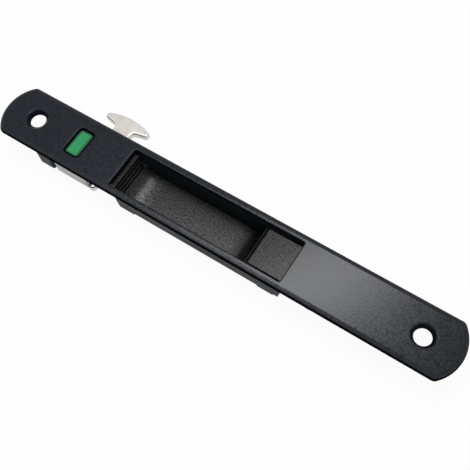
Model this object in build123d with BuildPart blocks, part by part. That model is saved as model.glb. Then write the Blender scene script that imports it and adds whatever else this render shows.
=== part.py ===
"""Sliding door lock: a long face plate with a finger slider that carries an anchor-headed hook.

Millimetres. X runs along the plate, Y towards the hook, Z out of the face. Z = 0 is the seat plane
under the plate's two end pads, and X = 0 is midway between the two fixing screws.
"""
import math
import os

from build123d import *

os.makedirs("parts", exist_ok=True)

# Face plate
plate_length = 200.0
plate_width = 23.5
plate_end_radius = 16.0
plate_corner_radius = 2.5
plate_thickness = 2.0
edge_bevel_width = 0.7
edge_bevel_drop = 0.9
face_bevel_width = 1.0
face_bevel_drop = 0.3
seat_step = 0.5
seat_margin = 0.6
seat_left_x = -80.0
seat_right_x = 72.5
screw_spacing = 170.0
screw_hole_radius = 3.3
countersink_radius = 4.7
countersink_angle = 90.0

# Finger window and indicator window
window_left_x = -42.3
window_right_x = 33.8
window_margin = 2.95
window_corner_radius = 0.7
window_edge_break = 0.3
indicator_x = -63.6
indicator_length = 7.0
indicator_width = 11.6
indicator_corner_radius = 1.3
flag_pocket_depth = 0.8
flag_pocket_gap = 0.35

# Travel and clearances
travel = 8.0
running_gap = 0.25
plate_gap = 0.4
spring_gap = 0.3
thread_gap = 0.05
hole_gap = 0.1

# Small screws and rivets
small_screw_radius = 1.0
small_head_radius = 1.9
small_head_height = 1.2
slot_width = 0.5
slot_depth = 0.6
rivet_radius = 1.0
rivet_head_radius = 1.7
rivet_head_height = 0.6

# Finger slider
slider_side_gap = 0.95
neck_thickness = 1.4
neck_left_x = -55.0
neck_half_width = 6.2
bar_left_x = -43.5
bar_right_x = -40.5
bar_depth = 0.5
rib_count = 3
rib_x = -40.8
rib_z = -2.05
rib_pitch = 1.5
rib_lean = 0.61
rib_run = 0.47
rib_drop = 0.27
rib_nose = 0.2
groove_depth = 0.8
dish_edge_x = -38.8
dish_floor_x = -28.0
dish_floor_z = -8.4
dish_shell = 0.9
heel_x = -40.8
heel_z = -7.4
wall_back_x = -42.8
wall_back_z = -5.8
end_wall_x = 18.2
end_wall_fillet = 6.0
rim_width = 0.55
rim_drop = 0.4
rim_groove = 0.65
rim_groove_depth = 1.4
pad_thickness = 1.8
pad_right_x = 35.0
pad_edge_radius = 0.3
end_wall_outer_x = 20.2
gusset_length = 3.3
gusset_height = 5.0
gusset_thickness = 1.0
gusset_y = 5.0
tongue_right_x = 43.5

# Guide channel
channel_left_x = -40.0
channel_right_x = 33.5
channel_wall = 2.0
flank_left_x = -44.5
flank_step_x = -42.2
flank_step_z = -2.2
flank_low_z = -6.8
lead_in_width = 0.65
lead_in_depth = 2.0
channel_floor = 1.0
foot_drop = 1.1
foot_slant = 0.6
foot_slant_z = -7.0
foot_inner_y = 6.5
left_foot_right_x = -32.3
right_foot_left_x = 24.8
right_foot_right_x = 31.4
post_x = 46.0
post_y = 8.6
post_radius = 1.8
post_bottom_z = -2.0
pilot_depth = 2.1
bridge_left_x = 32.0
bridge_right_x = 49.0
bridge_half_width = 10.4
bridge_thickness = 1.2
shelf_left_x = -46.0
shelf_right_x = -42.2
shelf_half_width = 6.0

# Steel case and end block
steel = 1.0
case_bottom_z = -8.0
case_left_x = -70.2
case_right_x = -42.4
case_tail_half_width = 8.5
case_near_y = -11.2
case_wall_start_x = -68.4
case_wall_end_x = -52.8
case_far_y = 9.8
case_far_end_x = -62.8
case_inner_near_y = -9.0
case_inner_far_y = 8.8
case_bend_radius = 0.9
case_slot_length = 9.0
case_slot_width = 3.6
case_slot_x = -66.0
rivet_x = -44.4
rivet_y = 4.5
block_left_x = -79.6
block_inner_x = -76.8
block_right_x = -70.4
block_arm_left_x = -77.2
block_near_y = -11.4
block_arm_y = -8.7
block_far_y = 9.0
block_cross_near_y = -9.6
block_arm_bottom_z = -7.8
block_nose_radius = 1.1
shoulder_right_x = -68.0
shoulder_near_y = -10.1
block_screw_x = -78.2
block_screw_y = 4.5
block_screw_bite = 1.2

# Detent spring, a flat strip on edge
strip_thickness = 0.5
strip_height = 2.4
strip_y = -9.5
strip_z = -5.6
strip_left_x = -75.0
bend_radius = 1.0
loop_radius = 1.35
loop_x = -50.9
loop_y = -10.15
loop_sweep = 290.0

# Carriage and its screws
carriage_thickness = 1.2
carriage_left_x = -76.0
carriage_right_x = -44.2
carriage_half_width = 6.5
carriage_corner_radius = 1.5
slider_screw_x = -51.5
slider_screw_y = 3.6
slider_screw_radius = 1.0
slider_screw_head_radius = 1.9
hook_screw_x = (-59.2, -50.2)
hook_screw_radius = 1.25
hook_head_radius = 2.2
hook_head_height = 1.2
carrier_rivet_x = (-73.5, -64.8)

# Hook bolt
hook_x = -54.7
hook_thickness = 3.0
hook_root_left_x = -62.0
hook_root_right_x = -48.6
hook_root_near_y = -8.9
hook_root_far_y = 7.0
hook_root_radius = 0.8
hook_stem_half_width = 4.1
hook_neck_y = 16.1
hook_neck_radius = 2.0
hook_tip_half_width = 10.2
hook_tip_low_y = 17.4
hook_tip_high_y = 19.4
hook_tip_radius = 0.95
hook_apex_y = 21.4
hook_edge = 0.45

# Indicator flag
tile_thickness = 0.6
tile_half_width = 6.3
tile_gap = 0.1
carrier_border = 0.6
leg_length = 5.4
leg_inner_y = 6.7
leg_outer_y = 8.4

# Values that follow from those above
window_half_width = plate_width / 2 - window_margin
slider_half_width = window_half_width - slider_side_gap
back_z = seat_step
top_z = back_z + plate_thickness
slider_top_z = back_z - plate_gap
neck_low_z = slider_top_z - neck_thickness
pad_low_z = slider_top_z - pad_thickness
carriage_low_z = neck_low_z - carriage_thickness
hook_low_z = carriage_low_z - hook_thickness
case_top_z = case_bottom_z + steel
dish_low_z = dish_floor_z - dish_shell
channel_floor_z = dish_low_z - running_gap
channel_bottom_z = channel_floor_z - channel_floor
channel_inner_y = slider_half_width + running_gap
channel_outer_y = channel_inner_y + channel_wall
foot_z = channel_bottom_z - foot_drop
bridge_low_z = post_bottom_z - bridge_thickness
rim_outer_x = end_wall_x + rim_width
pad_left_x = rim_outer_x + rim_groove
tile_top_z = slider_top_z + flag_pocket_depth
tile_low_z = tile_top_z - tile_thickness
tile_length = travel - tile_gap
green_left_x = indicator_x - tile_length / 2
red_left_x = green_left_x - travel
carrier_left_x = red_left_x - carrier_border
carrier_right_x = green_left_x + tile_length + carrier_border
carrier_half_width = tile_half_width + carrier_border
leg_bottom_z = case_top_z + running_gap
notch_radius = loop_radius + strip_thickness / 2 + spring_gap
bend_angle = math.degrees(math.acos((strip_y + bend_radius - loop_y) / (bend_radius + loop_radius)))
bend_x = loop_x - (bend_radius + loop_radius) * math.sin(math.radians(bend_angle))
post_places = [(post_x, post_y), (post_x, -post_y)]
block_places = [(block_screw_x, block_screw_y), (block_screw_x, -block_screw_y)]
rivet_places = [(rivet_x, rivet_y), (rivet_x, -rivet_y)]
slider_screw_places = [(slider_screw_x, slider_screw_y), (slider_screw_x, -slider_screw_y)]
hook_screw_places = [(x, 0) for x in hook_screw_x]
carrier_rivet_places = [(x, 0) for x in carrier_rivet_x]
end_places = [(-screw_spacing / 2, 0), (screw_spacing / 2, 0)]


def span(x0, x1, y0, y1):
    """Add a rectangle between two X and two Y values to the sketch in hand."""
    with Locations(((x0 + x1) / 2, (y0 + y1) / 2)):
        Rectangle(x1 - x0, y1 - y0)


def plate_outline():
    """Draw the round-ended outline of the plate in the sketch in hand."""
    half_width = plate_width / 2
    half_length = plate_length / 2
    corner_x = half_length - plate_end_radius + math.sqrt(plate_end_radius**2 - half_width**2)
    with BuildLine() as outline:
        Line((-corner_x, half_width), (corner_x, half_width))
        ThreePointArc((corner_x, half_width), (half_length, 0), (corner_x, -half_width))
        Line((corner_x, -half_width), (-corner_x, -half_width))
        ThreePointArc((-corner_x, -half_width), (-half_length, 0), (-corner_x, half_width))
    make_face(outline.edges())
    fillet(vertices(), plate_corner_radius)


# Face plate: bevelled plate, two windows, countersunk holes, end pads, a flag pocket and two screw posts
with BuildPart() as face_plate:
    with BuildSketch(Plane.XY.offset(back_z)):
        plate_outline()
    extrude(amount=plate_thickness)
    for width, drop in ((edge_bevel_width, edge_bevel_drop), (face_bevel_width, face_bevel_drop)):
        top_face = faces().sort_by(Axis.Z)[-1]
        chamfer(top_face.edges(), length=width, length2=drop, reference=top_face)
    with BuildSketch(Plane.XY.offset(top_z)):
        with Locations(((window_left_x + window_right_x) / 2, 0)):
            RectangleRounded(window_right_x - window_left_x, 2 * window_half_width, window_corner_radius)
        with Locations((indicator_x, 0)):
            RectangleRounded(indicator_length, indicator_width, indicator_corner_radius)
    extrude(amount=-plate_thickness, mode=Mode.SUBTRACT)
    pierced_face = faces().sort_by(Axis.Z)[-1]
    chamfer([edge for wire in pierced_face.inner_wires() for edge in wire.edges()], window_edge_break)
    with BuildSketch():
        plate_outline()
        offset(amount=-seat_margin, mode=Mode.REPLACE)
        with Locations(((seat_left_x + seat_right_x) / 2, 0)):
            Rectangle(seat_right_x - seat_left_x, plate_width, mode=Mode.SUBTRACT)
    extrude(amount=seat_step)
    with Locations(Plane.XY.offset(top_z)):
        with Locations(*end_places):
            CounterSinkHole(screw_hole_radius, countersink_radius, counter_sink_angle=countersink_angle)
    with BuildSketch(Plane.XY.offset(post_bottom_z)):
        with Locations(*post_places):
            Circle(post_radius)
    extrude(amount=back_z - post_bottom_z)
    with BuildSketch(Plane.XY.offset(post_bottom_z)):
        with Locations(*post_places):
            Circle(small_screw_radius + thread_gap)
    extrude(amount=pilot_depth, mode=Mode.SUBTRACT)
    with BuildSketch(Plane.XY.offset(back_z)):
        with Locations(*block_places):
            Circle(small_screw_radius + thread_gap)
    extrude(amount=block_screw_bite + thread_gap, mode=Mode.SUBTRACT)
    with BuildSketch(Plane.XY.offset(back_z)):
        span(carrier_left_x - flag_pocket_gap, carrier_right_x + travel + flag_pocket_gap,
             -carrier_half_width - flag_pocket_gap, carrier_half_width + flag_pocket_gap)
    extrude(amount=flag_pocket_depth, mode=Mode.SUBTRACT)
face_plate.part.label = "face_plate"
export_step(face_plate.part, "parts/face_plate.step")

# Finger slider: one moulding with a bar, grip ribs on the steep end, a dish, a rim, a pad and two tongues
groove_back_x = bar_right_x - groove_depth
grip_points = [(groove_back_x, slider_top_z - bar_depth)]
for i in range(rib_count):
    ledge_x = rib_x + i * rib_lean
    ledge_z = rib_z - i * rib_pitch
    nose_x = ledge_x + rib_run
    nose_z = ledge_z - rib_drop
    grip_points += [(groove_back_x, ledge_z), (ledge_x, ledge_z), (nose_x, nose_z)]
    groove_back_x = nose_x - groove_depth
    grip_points += [(nose_x, nose_z - rib_nose), (groove_back_x, nose_z - rib_nose)]
dish_edge_z = rib_z - rib_count * rib_pitch
grip_points += [(groove_back_x, dish_edge_z), (dish_edge_x, dish_edge_z)]
dish_rise = dish_edge_z - dish_floor_z
dish_run = dish_floor_x - dish_edge_x
dish_radius = (dish_run**2 + dish_rise**2) / (2 * dish_rise)
dish_turn = math.asin(dish_run / dish_radius)
shell_radius = dish_radius + dish_shell
dish_mid = (dish_floor_x - dish_radius * math.sin(dish_turn / 2),
            dish_floor_z + dish_radius * (1 - math.cos(dish_turn / 2)))
shell_mid = (dish_floor_x - shell_radius * math.sin(dish_turn / 2),
             dish_low_z + shell_radius * (1 - math.cos(dish_turn / 2)))
shell_edge = (dish_floor_x - shell_radius * math.sin(dish_turn),
              dish_low_z + shell_radius * (1 - math.cos(dish_turn)))
with BuildPart() as finger_slider:
    with BuildSketch(Plane.XZ):
        with BuildLine():
            grip = Polyline(
                (bar_left_x, slider_top_z),
                (bar_right_x, slider_top_z),
                (bar_right_x, slider_top_z - bar_depth),
                *grip_points,
            )
            ThreePointArc(grip @ 1, dish_mid, (dish_floor_x, dish_floor_z))
            floor_line = Line((dish_floor_x, dish_floor_z), (end_wall_x - end_wall_fillet, dish_floor_z))
            rise = JernArc(floor_line @ 1, floor_line % 1, end_wall_fillet, 90)
            Polyline(
                rise @ 1,
                (end_wall_x, slider_top_z - rim_drop),
                (rim_outer_x, slider_top_z - rim_drop),
                (rim_outer_x, slider_top_z - rim_groove_depth),
                (pad_left_x, slider_top_z - rim_groove_depth),
                (pad_left_x, slider_top_z),
                (pad_right_x, slider_top_z),
                (pad_right_x, pad_low_z),
                (end_wall_outer_x, pad_low_z),
                (end_wall_outer_x, dish_low_z),
                (dish_floor_x, dish_low_z),
            )
            ThreePointArc((dish_floor_x, dish_low_z), shell_mid, shell_edge)
            Polyline(
                shell_edge,
                (heel_x, heel_z),
                (wall_back_x, wall_back_z),
                (wall_back_x, neck_low_z),
                (bar_left_x, neck_low_z),
                grip @ 0,
            )
        make_face()
    extrude(amount=slider_half_width, both=True)
    top_faces = faces().filter_by(Axis.Z).group_by(Axis.Z)[-1]
    pad_edges = top_faces.sort_by(Axis.X)[-1].edges()
    fillet(pad_edges.sort_by(Axis.X)[:-1], pad_edge_radius)
    for side in (-1, 1):
        with BuildSketch(Plane.XZ.offset(side * gusset_y)):
            with BuildLine():
                Polyline(
                    (end_wall_outer_x, pad_low_z),
                    (end_wall_outer_x + gusset_length, pad_low_z),
                    (end_wall_outer_x, pad_low_z - gusset_height),
                    close=True,
                )
            make_face()
        extrude(amount=gusset_thickness / 2, both=True)
    with BuildSketch(Plane.XY.offset(slider_top_z)):
        span(neck_left_x, bar_left_x, -neck_half_width, neck_half_width)
    extrude(amount=-neck_thickness)
    with BuildSketch(Plane.XY.offset(slider_top_z)):
        span(pad_right_x, tongue_right_x, -neck_half_width, neck_half_width)
    extrude(amount=-pad_thickness)
    with Locations(Plane.XY.offset(slider_top_z)):
        with Locations(*slider_screw_places):
            CounterSinkHole(slider_screw_radius + hole_gap, slider_screw_head_radius + hole_gap,
                            depth=neck_thickness, counter_sink_angle=countersink_angle)
finger_slider.part.label = "finger_slider"
export_step(finger_slider.part, "parts/finger_slider.step")

# Guide channel: two side walls with feet, a far flank beside the grip, a floor, a shelf and a bridge
with BuildPart() as guide_channel:
    with BuildSketch(Plane.XZ):
        with BuildLine():
            Polyline(
                (channel_left_x, back_z),
                (channel_left_x, foot_slant_z),
                (channel_left_x + foot_slant, foot_z),
                (left_foot_right_x, foot_z),
                (left_foot_right_x, channel_bottom_z),
                (right_foot_left_x - foot_slant, channel_bottom_z),
                (right_foot_left_x, foot_z),
                (right_foot_right_x, foot_z),
                (right_foot_right_x, channel_bottom_z),
                (channel_right_x, channel_bottom_z),
                (channel_right_x, back_z),
                close=True,
            )
        make_face()
    extrude(amount=channel_outer_y, both=True)
    with BuildSketch(Plane.XZ.offset(-channel_outer_y)):
        with BuildLine():
            Polyline(
                (channel_left_x, back_z),
                (flank_left_x, back_z),
                (flank_left_x, flank_step_z),
                (flank_step_x, flank_step_z),
                (flank_step_x, flank_low_z),
                (channel_left_x, flank_low_z),
                close=True,
            )
        make_face()
    extrude(amount=channel_wall)
    with BuildSketch(Plane.YZ.offset(flank_left_x)):
        with BuildLine():
            Polyline(
                (-channel_inner_y - lead_in_width, back_z),
                (-channel_inner_y, back_z - lead_in_depth),
                (-channel_inner_y, channel_floor_z),
                (channel_inner_y, channel_floor_z),
                (channel_inner_y, back_z - lead_in_depth),
                (channel_inner_y + lead_in_width, back_z),
                close=True,
            )
        make_face()
        span(-foot_inner_y, foot_inner_y, foot_z, channel_bottom_z)
    extrude(amount=channel_right_x - flank_left_x, mode=Mode.SUBTRACT)
    with BuildSketch(Plane.XY.offset(channel_bottom_z)):
        span(shelf_right_x, channel_left_x + 2 * foot_slant, -shelf_half_width, shelf_half_width)
    extrude(amount=channel_floor)
    with BuildSketch(Plane.XY.offset(channel_bottom_z)):
        span(shelf_left_x, shelf_right_x, -shelf_half_width, shelf_half_width)
        with Locations(*rivet_places):
            Circle(rivet_radius + thread_gap, mode=Mode.SUBTRACT)
    extrude(amount=case_bottom_z - channel_bottom_z)
    with BuildSketch(Plane.XY.offset(bridge_low_z)):
        span(bridge_left_x, bridge_right_x, -bridge_half_width, bridge_half_width)
        with Locations(*post_places):
            Circle(small_screw_radius + hole_gap, mode=Mode.SUBTRACT)
    extrude(amount=bridge_thickness)
guide_channel.part.label = "guide_channel"
export_step(guide_channel.part, "parts/guide_channel.step")

# Channel screws: pan heads under the bridge, threaded into the plate's posts
with BuildPart() as channel_screws:
    with BuildSketch(Plane.XY.offset(bridge_low_z)):
        with Locations(*post_places):
            Circle(small_screw_radius)
    extrude(amount=bridge_thickness + pilot_depth - thread_gap)
    with BuildSketch(Plane.XY.offset(bridge_low_z - small_head_height)):
        with Locations(*post_places):
            Circle(small_head_radius)
    extrude(amount=small_head_height)
    with BuildSketch(Plane.XY.offset(bridge_low_z - small_head_height)):
        with Locations(*post_places):
            Rectangle(2 * small_screw_radius, slot_width)
    extrude(amount=slot_depth, mode=Mode.SUBTRACT)
channel_screws.part.label = "channel_screws"
export_step(channel_screws.part, "parts/channel_screws.step")

# Lock case: folded steel pan with a near wall and a short far wall
with BuildPart() as lock_case:
    with BuildSketch(Plane.XY.offset(case_bottom_z)):
        span(block_left_x, case_left_x, -case_tail_half_width, case_tail_half_width)
        span(case_left_x, case_wall_start_x, -case_tail_half_width, case_far_y)
        span(case_wall_start_x, case_far_end_x, case_near_y, case_far_y)
        span(case_far_end_x, case_wall_end_x, case_near_y, case_inner_far_y)
        span(case_wall_end_x, case_right_x, case_inner_near_y, case_inner_far_y)
        with Locations(*block_places):
            Circle(small_screw_radius + hole_gap, mode=Mode.SUBTRACT)
        with Locations(*rivet_places):
            Circle(rivet_radius + thread_gap, mode=Mode.SUBTRACT)
        with Locations((case_slot_x, 0)):
            SlotOverall(case_slot_length, case_slot_width, mode=Mode.SUBTRACT)
    extrude(amount=steel)
    with BuildSketch(Plane.XY.offset(case_bottom_z)):
        span(case_wall_start_x, case_wall_end_x, case_near_y, case_near_y + steel)
        span(case_left_x, case_far_end_x, case_far_y - steel, case_far_y)
    extrude(amount=back_z - case_bottom_z)
    low_edges = edges().filter_by(Axis.X).group_by(Axis.Z)[0]
    fillet([low_edges.sort_by(Axis.Y)[0], low_edges.sort_by(Axis.Y)[-1]], case_bend_radius)
lock_case.part.label = "lock_case"
export_step(lock_case.part, "parts/lock_case.step")

# Case rivets: they hold the pan down on the channel's shelf
with BuildPart() as case_rivets:
    with BuildSketch(Plane.XY.offset(channel_bottom_z)):
        with Locations(*rivet_places):
            Circle(rivet_radius)
    extrude(amount=case_top_z - channel_bottom_z)
    with BuildSketch(Plane.XY.offset(case_top_z)):
        with Locations(*rivet_places):
            Circle(rivet_head_radius)
    extrude(amount=rivet_head_height)
    with BuildSketch(Plane.XY.offset(channel_bottom_z)):
        with Locations(*rivet_places):
            Circle(rivet_head_radius)
    extrude(amount=-rivet_head_height)
case_rivets.part.label = "case_rivets"
export_step(case_rivets.part, "parts/case_rivets.step")

# End block: cross wall, near arm and a set-back shoulder, with a blind slot that anchors the strip spring
with BuildPart() as end_block:
    with BuildSketch(Plane.XY.offset(case_top_z)):
        span(block_left_x, block_inner_x, block_cross_near_y, block_far_y)
        span(block_arm_left_x, block_right_x, block_near_y, block_arm_y)
    extrude(amount=back_z - case_top_z)
    with BuildSketch(Plane.XY.offset(block_arm_bottom_z)):
        span(block_arm_left_x, block_right_x, block_near_y, block_arm_y)
    extrude(amount=case_top_z - block_arm_bottom_z)
    nose_edges = edges().filter_by(Axis.Z).group_by(Axis.X)[-1]
    fillet(nose_edges.sort_by(Axis.Y)[0], block_nose_radius)
    with BuildSketch(Plane.XY.offset(case_top_z)):
        span(block_right_x, shoulder_right_x, shoulder_near_y, block_arm_y)
    extrude(amount=back_z - case_top_z)
    with BuildSketch(Plane.YZ.offset(strip_left_x - hole_gap)):
        with Locations((strip_y, strip_z)):
            Rectangle(strip_thickness + 2 * thread_gap, strip_height + 2 * thread_gap)
    extrude(amount=shoulder_right_x - strip_left_x + 2 * hole_gap, mode=Mode.SUBTRACT)
    with BuildSketch(Plane.XY.offset(case_top_z)):
        with Locations(*block_places):
            Circle(small_screw_radius + hole_gap)
    extrude(amount=back_z - case_top_z, mode=Mode.SUBTRACT)
end_block.part.label = "end_block"
export_step(end_block.part, "parts/end_block.step")

# Block screws: through the pan and the block into the plate
with BuildPart() as block_screws:
    with BuildSketch(Plane.XY.offset(case_bottom_z)):
        with Locations(*block_places):
            Circle(small_screw_radius)
    extrude(amount=back_z + block_screw_bite - case_bottom_z)
    with BuildSketch(Plane.XY.offset(case_bottom_z - small_head_height)):
        with Locations(*block_places):
            Circle(small_head_radius)
    extrude(amount=small_head_height)
    with BuildSketch(Plane.XY.offset(case_bottom_z - small_head_height)):
        with Locations(*block_places):
            Rectangle(2 * small_screw_radius, slot_width)
    extrude(amount=slot_depth, mode=Mode.SUBTRACT)
block_screws.part.label = "block_screws"
export_step(block_screws.part, "parts/block_screws.step")

# Detent spring: strip anchored in the block, curled into a C that clicks into the hook's two notches
with BuildPart() as detent_spring:
    with BuildLine(Plane.XY.offset(strip_z)) as strip_path:
        run = Line((strip_left_x, strip_y), (bend_x, strip_y))
        bend = JernArc(run @ 1, run % 1, bend_radius, bend_angle)
        JernArc(bend @ 1, bend % 1, loop_radius, -loop_sweep)
    with BuildSketch(Plane.YZ.offset(strip_left_x)):
        with Locations((strip_y, strip_z)):
            Rectangle(strip_thickness, strip_height)
    sweep(path=strip_path.line)
detent_spring.part.label = "detent_spring"
export_step(detent_spring.part, "parts/detent_spring.step")

# Carriage: steel strip under the slider's neck and the flag carrier, over the hook
with BuildPart() as carriage:
    with BuildSketch(Plane.XY.offset(carriage_low_z)):
        with Locations(((carriage_left_x + carriage_right_x) / 2, 0)):
            RectangleRounded(
                carriage_right_x - carriage_left_x,
                2 * carriage_half_width,
                carriage_corner_radius,
            )
        with Locations(*slider_screw_places):
            Circle(slider_screw_radius + thread_gap, mode=Mode.SUBTRACT)
        with Locations(*hook_screw_places):
            Circle(hook_screw_radius + thread_gap, mode=Mode.SUBTRACT)
        with Locations(*carrier_rivet_places):
            Circle(rivet_radius + thread_gap, mode=Mode.SUBTRACT)
    extrude(amount=carriage_thickness)
carriage.part.label = "carriage"
export_step(carriage.part, "parts/carriage.step")

# Slider screws: countersunk, from the slider's neck into the carriage
with BuildPart() as slider_screws:
    with BuildSketch(Plane.XY.offset(carriage_low_z + hole_gap)):
        with Locations(*slider_screw_places):
            Circle(slider_screw_radius)
    extrude(amount=slider_top_z - carriage_low_z - 2 * hole_gap)
    with BuildSketch(Plane.XY.offset(slider_top_z - hole_gap)):
        with Locations(*slider_screw_places):
            Circle(slider_screw_head_radius)
    extrude(amount=slider_screw_radius - slider_screw_head_radius, taper=countersink_angle / 2)
    with BuildSketch(Plane.XY.offset(slider_top_z - hole_gap)):
        with Locations(*slider_screw_places):
            Rectangle(2 * slider_screw_radius, slot_width)
    extrude(amount=-slot_depth, mode=Mode.SUBTRACT)
slider_screws.part.label = "slider_screws"
export_step(slider_screws.part, "parts/slider_screws.step")

# Hook bolt: root plate with two detent notches, stem and anchor head
with BuildPart() as hook_bolt:
    with BuildSketch(Plane.XY.offset(hook_low_z)):
        span(hook_root_left_x, hook_root_right_x, hook_root_near_y, hook_root_far_y)
        fillet(vertices(), hook_root_radius)
        with Locations((loop_x, loop_y), (loop_x - travel, loop_y)):
            Circle(notch_radius, mode=Mode.SUBTRACT)
        with Locations(*hook_screw_places):
            Circle(hook_screw_radius + hole_gap, mode=Mode.SUBTRACT)
    extrude(amount=hook_thickness)
    with BuildSketch(Plane.XY.offset(hook_low_z)):
        with BuildLine():
            under = Polyline(
                (hook_x + hook_tip_half_width, hook_tip_high_y),
                (hook_x + hook_tip_half_width, hook_tip_low_y),
                (hook_x + hook_stem_half_width, hook_neck_y),
                (hook_x + hook_stem_half_width, hook_root_far_y - hook_root_radius),
                (hook_x - hook_stem_half_width, hook_root_far_y - hook_root_radius),
                (hook_x - hook_stem_half_width, hook_neck_y),
                (hook_x - hook_tip_half_width, hook_tip_low_y),
                (hook_x - hook_tip_half_width, hook_tip_high_y),
            )
            ThreePointArc(under @ 1, (hook_x, hook_apex_y), under @ 0)
        make_face()
        fillet(vertices().filter_by_position(Axis.Y, hook_neck_y, hook_neck_y), hook_neck_radius)
        fillet(vertices().filter_by_position(Axis.Y, hook_tip_low_y, hook_tip_high_y), hook_tip_radius)
    extrude(amount=hook_thickness)
    head_edges = edges().filter_by_position(Axis.Y, hook_neck_y - hook_neck_radius, hook_apex_y)
    chamfer(head_edges.filter_by(Axis.Z, reverse=True), hook_edge)
hook_bolt.part.label = "hook_bolt"
export_step(hook_bolt.part, "parts/hook_bolt.step")

# Hook screws: pan heads under the hook, threaded into the carriage
with BuildPart() as hook_screws:
    with BuildSketch(Plane.XY.offset(hook_low_z)):
        with Locations(*hook_screw_places):
            Circle(hook_screw_radius)
    extrude(amount=hook_thickness + carriage_thickness - hole_gap)
    with BuildSketch(Plane.XY.offset(hook_low_z - hook_head_height)):
        with Locations(*hook_screw_places):
            Circle(hook_head_radius)
    extrude(amount=hook_head_height)
    with BuildSketch(Plane.XY.offset(hook_low_z - hook_head_height)):
        with Locations(*hook_screw_places):
            Rectangle(2 * hook_screw_radius, slot_width)
    extrude(amount=slot_depth, mode=Mode.SUBTRACT)
hook_screws.part.label = "hook_screws"
export_step(hook_screws.part, "parts/hook_screws.step")

# Flag carrier: frame round the two colour fields, with two legs that glide on the pan
with BuildPart() as flag_carrier:
    with BuildSketch(Plane.XY.offset(neck_low_z)):
        span(carrier_left_x, carrier_right_x, -carrier_half_width, carrier_half_width)
    extrude(amount=tile_top_z - neck_low_z)
    with BuildSketch(Plane.XY.offset(tile_low_z)):
        span(red_left_x - tile_gap, green_left_x + tile_length + tile_gap,
             -tile_half_width - tile_gap, tile_half_width + tile_gap)
    extrude(amount=tile_thickness, mode=Mode.SUBTRACT)
    with BuildSketch(Plane.XY.offset(leg_bottom_z)):
        span(carrier_left_x, carrier_left_x + leg_length, leg_inner_y, leg_outer_y)
        span(carrier_left_x, carrier_left_x + leg_length, -leg_outer_y, -leg_inner_y)
    extrude(amount=slider_top_z - leg_bottom_z)
    with BuildSketch(Plane.XY.offset(neck_low_z)):
        with Locations(*carrier_rivet_places):
            Circle(rivet_radius + thread_gap)
    extrude(amount=tile_low_z - neck_low_z, mode=Mode.SUBTRACT)
flag_carrier.part.label = "flag_carrier"
export_step(flag_carrier.part, "parts/flag_carrier.step")

# Carrier rivets: heads under the carriage, shanks up to the colour fields
with BuildPart() as carrier_rivets:
    with BuildSketch(Plane.XY.offset(carriage_low_z)):
        with Locations(*carrier_rivet_places):
            Circle(rivet_radius)
    extrude(amount=tile_low_z - carriage_low_z - hole_gap)
    with BuildSketch(Plane.XY.offset(carriage_low_z - rivet_head_height)):
        with Locations(*carrier_rivet_places):
            Circle(rivet_head_radius)
    extrude(amount=rivet_head_height)
carrier_rivets.part.label = "carrier_rivets"
export_step(carrier_rivets.part, "parts/carrier_rivets.step")

# Colour fields: green shows at rest, red once the hook has travelled
with BuildPart() as flag_green:
    with BuildSketch(Plane.XY.offset(tile_low_z)):
        span(green_left_x, green_left_x + tile_length, -tile_half_width, tile_half_width)
    extrude(amount=tile_thickness)
flag_green.part.label = "flag_green"
export_step(flag_green.part, "parts/flag_green.step")

with BuildPart() as flag_red:
    with BuildSketch(Plane.XY.offset(tile_low_z)):
        span(red_left_x, red_left_x + tile_length, -tile_half_width, tile_half_width)
    extrude(amount=tile_thickness)
flag_red.part.label = "flag_red"
export_step(flag_red.part, "parts/flag_red.step")
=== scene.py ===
"""Finishes of a sliding door lock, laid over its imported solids, with a plain studio stage."""
import math
from typing import NamedTuple

import bpy
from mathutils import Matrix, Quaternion, Vector


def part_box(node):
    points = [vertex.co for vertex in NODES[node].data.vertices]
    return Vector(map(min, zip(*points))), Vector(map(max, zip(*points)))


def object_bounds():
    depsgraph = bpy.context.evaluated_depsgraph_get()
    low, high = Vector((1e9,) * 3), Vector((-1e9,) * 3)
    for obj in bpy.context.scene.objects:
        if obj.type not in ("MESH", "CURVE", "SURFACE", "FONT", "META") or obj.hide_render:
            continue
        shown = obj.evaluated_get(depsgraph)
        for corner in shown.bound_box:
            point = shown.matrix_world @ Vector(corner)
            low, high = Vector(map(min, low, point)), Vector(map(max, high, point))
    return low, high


bl_info = {
    "name": "Sliding door lock finishes",
    "version": (1, 0, 0),
    "blender": (4, 5, 0),
    "location": "View3D > Sidebar > Door lock",
    "description": "Coats, mouldings and metals of a flush sliding door lock",
    "category": "Object",
}

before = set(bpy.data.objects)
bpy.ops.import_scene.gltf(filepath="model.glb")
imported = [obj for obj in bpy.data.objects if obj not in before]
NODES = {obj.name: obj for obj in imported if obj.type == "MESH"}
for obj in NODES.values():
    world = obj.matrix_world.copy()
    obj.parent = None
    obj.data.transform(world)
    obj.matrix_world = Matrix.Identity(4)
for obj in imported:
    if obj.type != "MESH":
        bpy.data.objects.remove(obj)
CAD_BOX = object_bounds()
PLATE_LOW, PLATE_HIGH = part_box("face_plate")
PLATE_MIDDLE = (PLATE_LOW + PLATE_HIGH) / 2
PLATE_SIZE = PLATE_HIGH - PLATE_LOW
MILLIMETRE = 0.001

MOULDED = ("guide_channel", "end_block", "flag_carrier")
PLATED = ("lock_case", "carriage")
FASTENERS = (
    "channel_screws",
    "case_rivets",
    "block_screws",
    "slider_screws",
    "hook_screws",
    "carrier_rivets",
)

# Most values of a noise texture lie between these two
NOISE_LOW = 0.3
NOISE_HIGH = 0.7
# Rays from which the normal of a rounded edge is averaged
EDGE_SAMPLES = 8
# Half the height of the upright prisms that bound a mask, far beyond the lock
PRISM_HALF_HEIGHT = 1.0


def colour_property(name, description, default):
    """A colour that a user can change."""
    return bpy.props.FloatVectorProperty(
        name=name, description=description, default=default, size=3, min=0, max=1, subtype="COLOR"
    )


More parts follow.
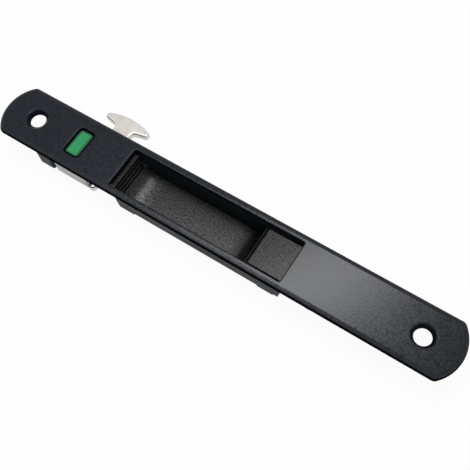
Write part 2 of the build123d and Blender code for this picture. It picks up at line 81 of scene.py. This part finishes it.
def length_property(name, description, millimetres):
    """A length that a user can change, given in millimetres and held in metres."""
    return bpy.props.FloatProperty(
        name=name, description=description, default=millimetres * MILLIMETRE, min=0, unit="LENGTH"
    )


def offset_property(name, description, millimetres):
    """A height or a distance off the middle, of either sign, given in millimetres and held in metres."""
    return bpy.props.FloatProperty(
        name=name, description=description, default=millimetres * MILLIMETRE, unit="LENGTH"
    )


def share_property(name, description, default):
    """A share from nought to one that a user can change."""
    return bpy.props.FloatProperty(
        name=name, description=description, default=default, min=0, max=1, subtype="FACTOR"
    )


def place_property(name, description, metres):
    """A point or a shift that a user can change, given and held in metres."""
    return bpy.props.FloatVectorProperty(
        name=name, description=description, default=metres, size=3, subtype="TRANSLATION", unit="LENGTH"
    )


def power_property(name, description, watts):
    """A lamp's power."""
    return bpy.props.FloatProperty(name=name, description=description, default=watts, min=0, unit="POWER")


class DoorLockCoat(bpy.types.PropertyGroup):
    """Powder coat on the face plate, with painted shade on its low edges and round the indicator window."""

    colour: colour_property("Colour", "Colour of the powder coat", (0.0062, 0.009, 0.0145))
    roughness: share_property("Roughness", "Middle roughness of the coat", 0.22)
    gloss: share_property("Gloss", "Gloss of the coat on the face", 0.16)
    bevel_gloss: share_property("Bevel gloss", "Gloss of the coat on the bevels", 0.225)
    edge_level: share_property("Edge level", "Brightness of the coat where it is dull", 0.2)
    face_depth: length_property("Face depth", "Depth down to which the face's gloss holds", 0.01)
    turn_depth: length_property("Turn depth", "Depth from which the bevels' gloss holds", 0.06)
    bevel_depth: length_property("Bevel depth", "Depth down to which the bevels are glossy", 0.3)
    edge_depth: length_property("Edge depth", "Depth below the face at which the gloss is gone", 0.55)
    edge_radius: length_property("Edge radius", "Radius to which the coat rounds an edge", 0.45)
    cloud_width: length_property("Cloud width", "Width of the faint clouds in the colour", 14.0)
    ripple_width: length_property("Ripple width", "Width of the orange-peel ripples", 0.7)
    ripple_depth: length_property("Ripple depth", "Depth of the orange-peel ripples", 0.035)
    ripple_gloss: share_property("Ripple gloss", "Share by which the ripples vary the gloss", 0.25)
    grit_width: length_property("Grit width", "Width of the fine grit on the ripples", 0.245)
    grit_depth: length_property("Grit depth", "Depth of the fine grit on the ripples", 0.012)
    # Painted shade: inside this border the coat's low edges are darkened to the painted shade level.
    border_width: length_property("Border width", "Width of the border whose low edges are dull", 1.5)
    border_corner: length_property("Border corner", "Corner radius of the border's inner line", 6.5)
    border_fade: length_property("Border fade", "Width over which the border fades inwards", 1.5)
    # Painted shade: a rim round the indicator window where the coat is darkened and loses its gloss.
    rim_place: place_property(
        "Rim place", "Centre of the dull rim about the indicator window", (-0.0632, -0.0002, 0.0)
    )
    rim_length: length_property("Rim length", "Length of the dull rim about the indicator window", 8.0)
    rim_width: length_property("Rim width", "Width of the dull rim about the indicator window", 13.1)
    rim_corner: length_property("Rim corner", "Corner radius of the dull rim", 1.7)
    rim_fade: length_property("Rim fade", "Width over which the dull rim fades into the face", 0.3)


class DoorLockSlider(bpy.types.PropertyGroup):
    """Etched finish of the finger slider, rubbed brighter in its dish, with painted shade on the end wall
    and rim of the dish.
    """

    colour: colour_property("Colour", "Colour of the moulded slider", (0.012, 0.012, 0.0128))
    gloss: share_property("Gloss", "Mean gloss of the dish where it is rubbed most", 0.175)
    speckle: share_property("Speckle", "Share by which the grain varies the gloss", 0.9)
    sheen: share_property("Sheen", "Weight of the slider's thin polished skin", 0.045)
    sheen_roughness: share_property("Sheen roughness", "Roughness of the thin polished skin", 0.12)
    roughness: share_property("Roughness", "Middle roughness of the slider", 0.32)
    edge_radius: length_property("Edge radius", "Edge radius of the slider", 0.15)
    grain_width: length_property("Grain width", "Width of the etched grain", 0.65)
    grain_depth: length_property("Grain depth", "Depth of the etched grain", 0.09)
    floor_z: offset_property("Floor height", "Height below which the dish is rubbed to full gloss", -8.0)
    pad_z: offset_property("Pad height", "Height above which the pad's own gloss holds", 0.0)
    pad_level: share_property("Pad level", "Gloss of the pad as a share of the dish's", 0.53)
    rubbed_y: offset_property("Rubbed side", "Distance off the middle where it is rubbed most", -3.0)
    far_y: offset_property("Far side", "Distance off the middle where it is rubbed least", 5.0)
    far_level: share_property("Far level", "Gloss of the far side as a share of the rubbed side's", 0.5)
    rise_place: place_property(
        "Rise place", "Centre of the dull strip where the dish rises to its ribs", (-0.03665, 0.0, 0.0)
    )
    rise_length: length_property("Rise length", "Length of the dull strip below the ribs", 5.5)
    rise_width: length_property("Rise width", "Width of the dull strip below the ribs", 21.6)
    rise_corner: length_property("Rise corner", "Corner radius of the dull strip", 1.6)
    rise_fade: length_property("Rise fade", "Width over which the dull strip fades out", 1.2)
    rise_level: share_property("Rise level", "Gloss of the dull strip as a share of the dish's", 0.42)
    # Painted shade: the dish's end wall and rim lose gloss and darken in colour towards the wall level.
    floor_end: length_property("Floor end", "Place along the dish from which the gloss falls", 8.0)
    wall_foot: length_property("Wall foot", "Place along the dish from which the end wall is dull", 14.0)
    wall_depth: length_property("Wall depth", "Depth below the pad at which rim and wall are dull", 0.25)
    wall_level: share_property("Wall level", "Gloss of the end wall as a share of the dish's", 0.18)


class DoorLockMouldings(bpy.types.PropertyGroup):
    """Guide channel, end block and flag carrier."""

    colour: colour_property("Colour", "Colour of the black mouldings", (0.005, 0.008, 0.0095))
    gloss: share_property("Gloss", "Gloss of the black mouldings", 0.15)
    roughness: share_property("Roughness", "Middle roughness of the black mouldings", 0.5)
    edge_radius: length_property("Edge radius", "Edge radius of the black mouldings", 0.15)
    grain_width: length_property("Grain width", "Width of the mouldings' fine grain", 0.6)
    grain_depth: length_property("Grain depth", "Depth of the mouldings' fine grain", 0.03)
    flow_width: length_property("Flow width", "Width of the flow marks along the mouldings", 6.0)


class DoorLockMetals(bpy.types.PropertyGroup):
    """Plated steel, the hook, the spring and the fasteners."""

    edge_radius: length_property("Edge radius", "Edge radius of the plated steel and the fasteners", 0.15)
    plated_colour: colour_property("Plated steel", "Colour of the case and carriage", (0.3, 0.305, 0.287))
    plated_roughness: share_property("Plated roughness", "Middle roughness of the plated steel", 0.34)
    plated_spangle: length_property("Plated spangle", "Width of the plating's spangles", 2.2)
    plated_grain: length_property("Plated grain", "Width of the rolling marks along the steel", 0.9)
    plated_grain_depth: length_property("Plated grain depth", "Depth of the rolling marks", 0.01)
    hook_colour: colour_property("Hook", "Satin faces of the hook bolt", (0.4, 0.38, 0.355))
    # The lighter colour of the hook's edges and walls is a painted highlight; their polish lies in their
    # metallic share and roughness.
    hook_edge_colour: colour_property("Hook edge", "Polished edges of the hook bolt", (0.7, 0.68, 0.65))
    hook_edge_radius: length_property("Hook edge radius", "Edge radius of the hook bolt", 0.7)
    hook_cloud: length_property("Hook cloud", "Width of the faint clouds on the hook bolt", 5.0)
    hook_face_slope: share_property("Hook face slope", "Upward part of the normal on satin faces", 0.998)
    hook_edge_slope: share_property("Hook edge slope", "Upward part of the normal on polished edges", 0.96)
    hook_metallic: share_property("Hook metallic", "Metal share of the satin faces", 0.6)
    hook_edge_metallic: share_property("Hook edge metallic", "Metal share of the polished edges", 0.75)
    hook_roughness: share_property("Hook roughness", "Roughness of the satin faces", 0.52)
    hook_edge_roughness: share_property("Hook edge roughness", "Roughness of the polished edges", 0.28)
    spring_colour: colour_property("Spring steel", "Colour of the detent spring", (0.55, 0.54, 0.52))
    spring_roughness: share_property("Spring roughness", "Middle roughness of the detent spring", 0.27)
    spring_grain: length_property("Spring grain", "Width of the rolling marks along the spring", 0.3)
    screw_colour: colour_property("Screws", "Colour of the screws and rivets", (0.55, 0.55, 0.53))
    screw_roughness: share_property("Screw roughness", "Middle roughness of the screws and rivets", 0.325)
    screw_grain: length_property("Screw grain", "Width of the pickled grain on the screws and rivets", 0.5)


class DoorLockFlags(bpy.types.PropertyGroup):
    """Printed fields of the indicator, each inside a border of painted shade."""

    green_colour: colour_property("Green field", "Field that shows when unlocked", (0.02, 0.3, 0.1))
    red_colour: colour_property("Red field", "Field that shows when locked", (0.55, 0.018, 0.018))
    gloss: share_property("Gloss", "Gloss of the print", 0.2)
    roughness: share_property("Roughness", "Middle roughness of the print", 0.4)
    mottle_width: length_property("Mottle width", "Width of the blots in the print", 1.6)
    # Painted shade: each field fades into a dark border, standing in for the shade of the window's walls
    # round it.
    field_length: length_property("Field length", "Length of a field inside its dark border", 5.95)
    field_width: length_property("Field width", "Width of a field inside its dark border", 11.7)
    field_corner: length_property("Field corner", "Corner radius of a field", 1.4)
    field_fade: length_property("Field fade", "Width over which a field fades into its border", 1.2)
    field_shift: place_property("Field shift", "Offset of a field on its tile", (-0.00055, 0.0002, 0.0))
    border_level: share_property("Border level", "Brightness of the border as a share of its field's", 0.13)


class DoorLockStage(bpy.types.PropertyGroup):
    """Camera, lamps and floor."""

    camera_place: place_property("Camera place", "Where the camera stands", (0.08648, -0.08718, 0.24605))
    camera_turn: bpy.props.FloatVectorProperty(
        name="Camera turn", description="How the camera is turned",
        default=(math.radians(24.82), math.radians(3.967), math.radians(33.113)), size=3, subtype="EULER",
    )
    camera_lens: bpy.props.FloatProperty(
        name="Lens", description="Focal length in millimetres", default=56.93, min=10, unit="CAMERA"
    )
    camera_near: length_property("Camera near limit", "Distance from which the camera sees", 5.0)
    key_place: place_property("Key lamp place", "Where the small bright soft box hangs", (-0.13, 0.345, 1.0))
    key_size: length_property("Key lamp size", "Long side of the small bright soft box", 300.0)
    key_depth: length_property("Key lamp depth", "Short side of the small bright soft box", 120.0)
    key_turn: bpy.props.FloatProperty(
        name="Key lamp turn", description="Turn of the small bright soft box about its beam",
        default=math.radians(28), subtype="ANGLE",
    )
    key_power: power_property("Key lamp power", "Power of the small bright soft box", 3.6)
    side_place: place_property("Side lamp place", "Where the wide soft box hangs", (-0.3, 0.08, 1.0))
    side_size: length_property("Side lamp size", "Side of the wide soft box", 260.0)
    side_power: power_property("Side lamp power", "Power of the wide soft box", 3.5)
    fill_place: place_property("Fill lamp place", "Where the low soft box stands", (0.95, -0.2, 0.7))
    fill_size: length_property("Fill lamp size", "Side of the low soft box", 600.0)
    fill_power: power_property("Fill lamp power", "Power of the low soft box", 2.0)
    world_level: bpy.props.FloatProperty(
        name="Surround level", description="Brightness of the pale surround", default=0.25, min=0
    )
    floor_size: length_property("Floor size", "Side of the floor", 6000.0)
    floor_colour: colour_property("Floor", "Pale floor", (0.86, 0.86, 0.86))
    floor_glow: share_property("Floor lift", "How far the floor is lifted to white", 0.95)


def shade(colour, factor):
    """A colour made darker or lighter."""
    return tuple(min(1.0, part * factor) for part in colour)


class Bump(NamedTuple):
    """A value that dents a surface, with its depth in metres and its strength."""

    height: bpy.types.NodeSocket
    depth: float
    strength: float


class Finish:
    """A material on Object coordinates, with helpers that wire its texture nodes."""

    def __init__(self, name):
        self.material = bpy.data.materials.new(name)
        self.material.use_nodes = True
        self.nodes = self.material.node_tree.nodes
        self.links = self.material.node_tree.links
        self.shader = self.nodes["Principled BSDF"]
        self.place = self.nodes.new("ShaderNodeTexCoord").outputs["Object"]

    def set(self, **values):
        """Set constants on the shader's own sockets; an underscore stands for a space."""
        for name, value in values.items():
            self.shader.inputs[name.replace("_", " ")].default_value = value

    def drive(self, name, value):
        """Drive one of the shader's sockets by a value."""
        self.links.new(value, self.shader.inputs[name])

    def along(self, axis, vector=None):
        """One part of a vector, or of the Object coordinates."""
        node = self.nodes.new("ShaderNodeSeparateXYZ")
        self.links.new(vector or self.place, node.inputs["Vector"])
        return node.outputs[axis]

    def vector_step(self, operation, first, second=None):
        """One step of vector arithmetic, with a constant as its second part."""
        node = self.nodes.new("ShaderNodeVectorMath")
        node.operation = operation
        self.links.new(first, node.inputs[0])
        if second is not None:
            node.inputs[1].default_value = second
        return node.outputs["Value" if operation == "LENGTH" else "Vector"]

    def outside(self, centre, length, width, corner, fade):
        """A value that climbs from 0 to 1 over the last stretch inside a rounded upright prism."""
        core = (length / 2 - corner, width / 2 - corner, PRISM_HALF_HEIGHT)
        offset = self.vector_step("ABSOLUTE", self.vector_step("SUBTRACT", self.place, centre))
        beyond = self.vector_step("MAXIMUM", self.vector_step("SUBTRACT", offset, core), (0, 0, 0))
        return self.rise(self.vector_step("LENGTH", beyond), corner - fade, corner)

    def stretched(self, squeeze):
        """Object coordinates squeezed along X, which draws a pattern out that way."""
        mapping = self.nodes.new("ShaderNodeMapping")
        mapping.inputs["Scale"].default_value = (squeeze, 1, 1)
        self.links.new(self.place, mapping.inputs["Vector"])
        return mapping.outputs["Vector"]

    def noise(self, width, detail=3.0, roughness=0.5, place=None):
        """Noise whose blobs are about width metres across."""
        node = self.nodes.new("ShaderNodeTexNoise")
        node.inputs["Scale"].default_value = 1.0 / width
        node.inputs["Detail"].default_value = detail
        node.inputs["Roughness"].default_value = roughness
        self.links.new(place or self.place, node.inputs["Vector"])
        return node.outputs["Fac"]

    def remap(self, value, low, high, source_low=NOISE_LOW, source_high=NOISE_HIGH):
        """Stretch a value between two levels; the low one may be a value too."""
        node = self.nodes.new("ShaderNodeMapRange")
        node.inputs["From Min"].default_value = source_low
        node.inputs["From Max"].default_value = source_high
        if isinstance(low, bpy.types.NodeSocket):
            self.links.new(low, node.inputs["To Min"])
        else:
            node.inputs["To Min"].default_value = low
        node.inputs["To Max"].default_value = high
        self.links.new(value, node.inputs["Value"])
        return node.outputs["Result"]

    def rise(self, value, start, end):
        """A value that climbs from 0 to 1 as another goes from start to end."""
        return self.remap(value, 0.0, 1.0, start, end)

    def between(self, share, low, high):
        """The level that lies a share of the way from low to high."""
        return self.remap(share, low, high, 0.0, 1.0)

    def opposite(self, share):
        """What is left of one beside a share."""
        return self.between(share, 1.0, 0.0)

    def times(self, first, *others):
        """The product of two or more values."""
        product = first
        for factor in others:
            node = self.nodes.new("ShaderNodeMath")
            node.operation = "MULTIPLY"
            self.links.new(product, node.inputs[0])
            self.links.new(factor, node.inputs[1])
            product = node.outputs["Value"]
        return product

    def tint(self, colour, noise, dark, light):
        """Drive the base colour between a dark and a light shade of a colour by noise."""
        ramp = self.nodes.new("ShaderNodeValToRGB")
        stops = ramp.color_ramp.elements
        for stop, position, factor in zip(stops, (NOISE_LOW, NOISE_HIGH), (dark, light)):
            stop.position = position
            stop.color = (*shade(colour, factor), 1)
        self.links.new(noise, ramp.inputs["Fac"])
        self.drive("Base Color", ramp.outputs["Color"])

    def fade_to(self, colour, value):
        """Fade the tinted base colour towards another by a value."""
        mix = self.nodes.new("ShaderNodeMix")
        mix.data_type = "RGBA"
        mix.inputs["B"].default_value = (*colour, 1)
        base = self.shader.inputs["Base Color"]
        self.links.new(base.links[0].from_socket, mix.inputs["A"])
        self.links.new(value, mix.inputs["Factor"])
        self.drive("Base Color", mix.outputs["Result"])

    def roughen(self, noise, middle, below, above):
        """Drive the roughness by noise, from below to above its middle."""
        self.drive("Roughness", self.remap(noise, middle - below, middle + above))

    def soften(self, radius, *bumps):
        """Round the edges by a radius, lay bumps over that, and return the normal of the rounding alone."""
        edge = self.nodes.new("ShaderNodeBevel")
        edge.samples = EDGE_SAMPLES
        edge.inputs["Radius"].default_value = radius
        normal = edge.outputs["Normal"]
        for bump in bumps:
            node = self.nodes.new("ShaderNodeBump")
            node.inputs["Distance"].default_value = bump.depth
            node.inputs["Strength"].default_value = bump.strength
            self.links.new(bump.height, node.inputs["Height"])
            self.links.new(normal, node.inputs["Normal"])
            normal = node.outputs["Normal"]
        self.drive("Normal", normal)
        return edge.outputs["Normal"]

    def put_on(self, *names):
        """Give the finish to CAD nodes."""
        for name in names:
            mesh = NODES[name].data
            mesh.materials.clear()
            mesh.materials.append(self.material)


class DOORLOCK_OT_coat_plate(bpy.types.Operator):
    """Powder coat on the face plate: satin black with a fine orange-peel ripple, with painted shade on its
    low edges and round the indicator window
    """

    bl_idname = "door_lock.coat_plate"
    bl_label = "Coat the face plate"

    def execute(self, context):
        look = context.scene.door_lock_coat
        top = PLATE_HIGH.z
        coat = Finish("satin_black_powder_coat")
        height = coat.along("Z")
        face = coat.rise(height, top - look.edge_depth, top - look.bevel_depth)
        # Painted shade round the indicator window: inside this rim the gloss goes and the colour is
        # darkened.
        clear = coat.outside(look.rim_place, look.rim_length, look.rim_width, look.rim_corner, look.rim_fade)
        border = coat.outside(
            PLATE_MIDDLE,
            PLATE_SIZE.x - 2 * look.border_width,
            PLATE_SIZE.y - 2 * look.border_width,
            look.border_corner,
            look.border_fade,
        )
        cloud = coat.noise(look.cloud_width, detail=2.0)
        ripple = coat.noise(look.ripple_width, detail=2.0)
        grit = coat.noise(look.grit_width, detail=1.0)
        sheen = coat.remap(
            height, look.bevel_gloss, look.gloss, top - look.turn_depth, top - look.face_depth
        )
        glint = coat.remap(ripple, 1 - look.ripple_gloss, 1 + look.ripple_gloss)
        coat.drive("Specular IOR Level", coat.times(face, clear, sheen, glint))
        coat.tint(look.colour, cloud, dark=0.9, light=1.12)
        # Painted shade: the colour is darkened on the plate's low edges and in the rim round the indicator
        # window, standing in for the shade and dark reflections there.
        dull = shade(look.colour, look.edge_level)
        coat.fade_to(dull, coat.times(border, coat.opposite(face)))
        coat.fade_to(dull, coat.opposite(clear))
        coat.roughen(ripple, look.roughness, below=0.04, above=0.05)
        coat.soften(
            look.edge_radius,
            Bump(ripple, look.ripple_depth, strength=0.4),
            Bump(grit, look.grit_depth, strength=0.4),
        )
        coat.put_on("face_plate")
        return {"FINISHED"}


class DOORLOCK_OT_finish_slider(bpy.types.Operator):
    """Etched grain on the finger slider, rubbed in the dish and darkened at both ends of it, with painted
    shade on the end wall and rim
    """

    bl_idname = "door_lock.finish_slider"
    bl_label = "Finish the finger slider"

    def execute(self, context):
        look = context.scene.door_lock_slider
        etched = Finish("etched_black_slider")
        etched.set(Coat_Weight=look.sheen, Coat_Roughness=look.sheen_roughness)
        grain = etched.noise(look.grain_width, detail=3.0, roughness=0.6)
        height = etched.along("Z")
        across = etched.remap(etched.along("Y"), 1.0, look.far_level, look.rubbed_y, look.far_y)
        rubbed = etched.remap(height, across, look.pad_level, look.floor_z, look.pad_z)
        past_rise = etched.outside(
            look.rise_place, look.rise_length, look.rise_width, look.rise_corner, look.rise_fade
        )
        rise = etched.between(past_rise, look.rise_level, 1.0)
        # Painted shade on the dish's end wall and rim: gloss and colour fall towards the wall level there.
        end_wall = etched.remap(etched.along("X"), 1.0, look.wall_level, look.floor_end, look.wall_foot)
        clear = etched.remap(height, end_wall, 1.0, look.pad_z - look.wall_depth, look.pad_z)
        speckle = etched.remap(
            grain,
            look.gloss * (1 - look.speckle),
            look.gloss * (1 + look.speckle),
            source_low=0.34,
            source_high=0.66,
        )
        etched.drive("Specular IOR Level", etched.times(rubbed, rise, clear, speckle))
        etched.tint(look.colour, grain, dark=0.7, light=1.45)
        # Painted shade: the colour of the end wall and rim is darkened.
        etched.fade_to(shade(look.colour, look.wall_level), etched.opposite(clear))
        etched.roughen(grain, look.roughness, below=0.06, above=0.08)
        etched.soften(look.edge_radius, Bump(grain, look.grain_depth, strength=0.6))
        etched.put_on("finger_slider")
        return {"FINISHED"}


class DOORLOCK_OT_finish_mouldings(bpy.types.Operator):
    """Plain matt mouldings behind the plate"""

    bl_idname = "door_lock.finish_mouldings"
    bl_label = "Finish the black mouldings"

    def execute(self, context):
        look = context.scene.door_lock_mouldings
        moulding = Finish("matt_black_moulding")
        moulding.set(Specular_IOR_Level=look.gloss)
        grain = moulding.noise(look.grain_width, detail=3.0)
        flow = moulding.noise(look.flow_width, place=moulding.stretched(squeeze=0.25))
        moulding.tint(look.colour, flow, dark=0.85, light=1.2)
        moulding.roughen(flow, look.roughness, below=0.05, above=0.08)
        moulding.soften(look.edge_radius, Bump(grain, look.grain_depth, strength=0.4))
        moulding.put_on(*MOULDED)
        return {"FINISHED"}


class DOORLOCK_OT_plate_steel(bpy.types.Operator):
    """Zinc plating with rolling marks on the lock case and the carriage"""

    bl_idname = "door_lock.plate_steel"
    bl_label = "Plate the case and the carriage"

    def execute(self, context):
        look = context.scene.door_lock_metals
        plated = Finish("zinc_plated_steel")
        plated.set(Metallic=1.0)
        spangle = plated.noise(look.plated_spangle, detail=2.0)
        rolled = plated.noise(look.plated_grain, place=plated.stretched(squeeze=0.12))
        plated.tint(look.plated_colour, rolled, dark=0.65, light=1.3)
        plated.roughen(spangle, look.plated_roughness, below=0.08, above=0.08)
        plated.soften(look.edge_radius, Bump(rolled, look.plated_grain_depth, strength=0.3))
        plated.put_on(*PLATED)
        return {"FINISHED"}


class DOORLOCK_OT_polish_hook(bpy.types.Operator):
    """Satin faces of the hook bolt, with polished edges and walls whose lighter colour is a painted
    highlight
    """

    bl_idname = "door_lock.polish_hook"
    bl_label = "Polish the hook"

    def execute(self, context):
        look = context.scene.door_lock_metals
        hook = Finish("bright_tumbled_metal")
        rounding = hook.soften(look.hook_edge_radius)
        upward = hook.along("Z", rounding)
        polish = hook.opposite(hook.rise(upward, look.hook_edge_slope, look.hook_face_slope))
        cloud = hook.noise(look.hook_cloud, detail=1.0)
        hook.tint(look.hook_colour, cloud, dark=0.9, light=1.1)
        # Painted highlight: edges and walls, found by the slope of the rounded normal, take a lighter
        # colour; their metallic share and roughness are real polish.
        hook.fade_to(look.hook_edge_colour, polish)
        hook.drive("Metallic", hook.between(polish, look.hook_metallic, look.hook_edge_metallic))
        hook.drive("Roughness", hook.between(polish, look.hook_roughness, look.hook_edge_roughness))
        hook.put_on("hook_bolt")
        return {"FINISHED"}


class DOORLOCK_OT_finish_spring(bpy.types.Operator):
    """Rolled steel of the detent spring, with marks along its strip"""

    bl_idname = "door_lock.finish_spring"
    bl_label = "Finish the spring"

    def execute(self, context):
        look = context.scene.door_lock_metals
        spring = Finish("rolled_spring_steel")
        spring.set(Metallic=1.0)
        rolled = spring.noise(look.spring_grain, place=spring.stretched(squeeze=0.08))
        spring.tint(look.spring_colour, rolled, dark=0.85, light=1.15)
        spring.roughen(rolled, look.spring_roughness, below=0.07, above=0.07)
        spring.put_on("detent_spring")
        return {"FINISHED"}


class DOORLOCK_OT_plate_fasteners(bpy.types.Operator):
    """Zinc plating with a pickled grain on the screws and rivets"""

    bl_idname = "door_lock.plate_fasteners"
    bl_label = "Plate the screws and rivets"

    def execute(self, context):
        look = context.scene.door_lock_metals
        fastener = Finish("zinc_plated_fastener")
        fastener.set(Metallic=1.0)
        pickle = fastener.noise(look.screw_grain, detail=3.0)
        fastener.tint(look.screw_colour, pickle, dark=0.85, light=1.12)
        fastener.roughen(pickle, look.screw_roughness, below=0.075, above=0.075)
        fastener.soften(look.edge_radius)
        fastener.put_on(*FASTENERS)
        return {"FINISHED"}


class DOORLOCK_OT_colour_flags(bpy.types.Operator):
    """Green and red fields of the indicator, each inside a dark border of painted shade from the window's
    walls
    """

    bl_idname = "door_lock.colour_flags"
    bl_label = "Colour the indicator fields"

    def execute(self, context):
        look = context.scene.door_lock_flags
        for name, colour in (("flag_green", look.green_colour), ("flag_red", look.red_colour)):
            low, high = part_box(name)
            field = Finish(name + "_print_and_painted_shade")
            field.set(Specular_IOR_Level=look.gloss)
            mottle = field.noise(look.mottle_width, detail=3.0)
            field.tint(colour, mottle, dark=0.86, light=1.14)
            # Painted shade: a dark border round the field, with a wide fade, standing in for the shade cast
            # by the window's walls.
            border = field.outside(
                (low + high) / 2 + Vector(look.field_shift),
                look.field_length,
                look.field_width,
                look.field_corner,
                look.field_fade,
            )
            field.fade_to(shade(colour, look.border_level), border)
            field.roughen(mottle, look.roughness, below=0.06, above=0.06)
            field.put_on(name)
        return {"FINISHED"}


def add_lamp(name, place, size, depth, power, aim, turn=0.0):
    """Hang a soft box that faces a point."""
    bpy.ops.object.select_all(action="DESELECT")
    bpy.ops.object.light_add(type="AREA", location=place)
    lamp = bpy.context.object
    lamp.name = name
    lamp.data.shape = "RECTANGLE"
    lamp.data.size = size
    lamp.data.size_y = depth
    lamp.data.energy = power
    facing = (Vector(aim) - Vector(place)).to_track_quat("-Z", "Y")
    lamp.rotation_euler = (facing @ Quaternion((0, 0, 1), turn)).to_euler()


def seen_directly(nodes, links):
    """A value that is 1 for camera, glossy and transmission rays."""
    path = nodes.new("ShaderNodeLightPath")
    total = path.outputs["Is Camera Ray"]
    for name in ("Is Glossy Ray", "Is Transmission Ray"):
        either = nodes.new("ShaderNodeMath")
        either.operation = "MAXIMUM"
        links.new(total, either.inputs[0])
        links.new(path.outputs[name], either.inputs[1])
        total = either.outputs["Value"]
    return total


class DOORLOCK_OT_set_stage(bpy.types.Operator):
    """Pale floor, soft boxes and the camera"""

    bl_idname = "door_lock.set_stage"
    bl_label = "Set the stage"

    def execute(self, context):
        scene = context.scene
        stage = scene.door_lock_stage
        low, high = CAD_BOX
        middle = (low + high) / 2
        bpy.ops.object.select_all(action="DESELECT")
        bpy.ops.mesh.primitive_plane_add(size=stage.floor_size, location=(middle.x, middle.y, low.z))
        floor = context.object
        floor.name = "floor"
        bpy.ops.object.transform_apply(location=True, rotation=True, scale=True)
        self.paint_floor(floor, stage)
        self.hang_lamps(stage, middle)
        self.light_world(scene, stage)
        bpy.ops.object.camera_add(location=stage.camera_place, rotation=stage.camera_turn)
        camera = context.object
        camera.name = "photo_camera"
        camera.data.lens = stage.camera_lens
        camera.data.clip_start = stage.camera_near
        scene.camera = camera
        scene.view_settings.view_transform = "Standard"
        return {"FINISHED"}

    @staticmethod
    def hang_lamps(stage, aim):
        """A small bright soft box, a wide one and a low one, all facing the lock."""
        add_lamp(
            "key_soft_box",
            stage.key_place,
            stage.key_size,
            stage.key_depth,
            stage.key_power,
            aim,
            turn=stage.key_turn,
        )
        add_lamp("side_soft_box", stage.side_place, stage.side_size, stage.side_size, stage.side_power, aim)
        add_lamp("fill_soft_box", stage.fill_place, stage.fill_size, stage.fill_size, stage.fill_power, aim)

    @staticmethod
    def paint_floor(floor, stage):
        """White floor that still takes the lock's shadow."""
        material = bpy.data.materials.new("pale_floor")
        material.use_nodes = True
        nodes = material.node_tree.nodes
        links = material.node_tree.links
        nodes.clear()
        matt = nodes.new("ShaderNodeBsdfDiffuse")
        matt.inputs["Color"].default_value = (*stage.floor_colour, 1)
        glow = nodes.new("ShaderNodeEmission")
        lifted = nodes.new("ShaderNodeMath")
        lifted.operation = "MULTIPLY"
        lifted.inputs[1].default_value = stage.floor_glow
        links.new(seen_directly(nodes, links), lifted.inputs[0])
        mix = nodes.new("ShaderNodeMixShader")
        links.new(lifted.outputs["Value"], mix.inputs["Fac"])
        links.new(matt.outputs["BSDF"], mix.inputs[1])
        links.new(glow.outputs["Emission"], mix.inputs[2])
        output = nodes.new("ShaderNodeOutputMaterial")
        links.new(mix.outputs["Shader"], output.inputs["Surface"])
        floor.data.materials.append(material)

    @staticmethod
    def light_world(scene, stage):
        """Even pale surround, white where it is seen."""
        world = bpy.data.worlds.new("pale_surround")
        world.use_nodes = True
        scene.world = world
        nodes = world.node_tree.nodes
        links = world.node_tree.links
        background = nodes["Background"]
        background.inputs["Color"].default_value = (1, 1, 1, 1)
        level = nodes.new("ShaderNodeMapRange")
        level.inputs["To Min"].default_value = stage.world_level
        level.inputs["To Max"].default_value = 1.0
        links.new(seen_directly(nodes, links), level.inputs["Value"])
        links.new(level.outputs["Result"], background.inputs["Strength"])


SETTINGS = {
    "door_lock_coat": DoorLockCoat,
    "door_lock_slider": DoorLockSlider,
    "door_lock_mouldings": DoorLockMouldings,
    "door_lock_metals": DoorLockMetals,
    "door_lock_flags": DoorLockFlags,
    "door_lock_stage": DoorLockStage,
}

OPERATORS = (
    DOORLOCK_OT_coat_plate,
    DOORLOCK_OT_finish_slider,
    DOORLOCK_OT_finish_mouldings,
    DOORLOCK_OT_plate_steel,
    DOORLOCK_OT_polish_hook,
    DOORLOCK_OT_finish_spring,
    DOORLOCK_OT_plate_fasteners,
    DOORLOCK_OT_colour_flags,
    DOORLOCK_OT_set_stage,
)


class DOORLOCK_PT_sidebar(bpy.types.Panel):
    """Lists the lock's operators in the sidebar"""

    bl_idname = "DOORLOCK_PT_sidebar"
    bl_label = "Door lock"
    bl_space_type = "VIEW_3D"
    bl_region_type = "UI"
    bl_category = "Door lock"

    def draw(self, context):
        for operator in OPERATORS:
            self.layout.operator(operator.bl_idname)


CLASSES = (*SETTINGS.values(), *OPERATORS, DOORLOCK_PT_sidebar)


def register():
    """Register the classes and hang their settings on the scene."""
    for item in CLASSES:
        bpy.utils.register_class(item)
    for name, group in SETTINGS.items():
        setattr(bpy.types.Scene, name, bpy.props.PointerProperty(type=group))


def unregister():
    """Take the settings off the scene and the classes out of the register."""
    for name in SETTINGS:
        delattr(bpy.types.Scene, name)
    for item in reversed(CLASSES):
        bpy.utils.unregister_class(item)


def main():
    """Dress the lock and set the stage."""
    register()
    bpy.ops.door_lock.coat_plate()
    bpy.ops.door_lock.finish_slider()
    bpy.ops.door_lock.finish_mouldings()
    bpy.ops.door_lock.plate_steel()
    bpy.ops.door_lock.polish_hook()
    bpy.ops.door_lock.finish_spring()
    bpy.ops.door_lock.plate_fasteners()
    bpy.ops.door_lock.colour_flags()
    bpy.ops.door_lock.set_stage()


if __name__ == "__main__":
    main()
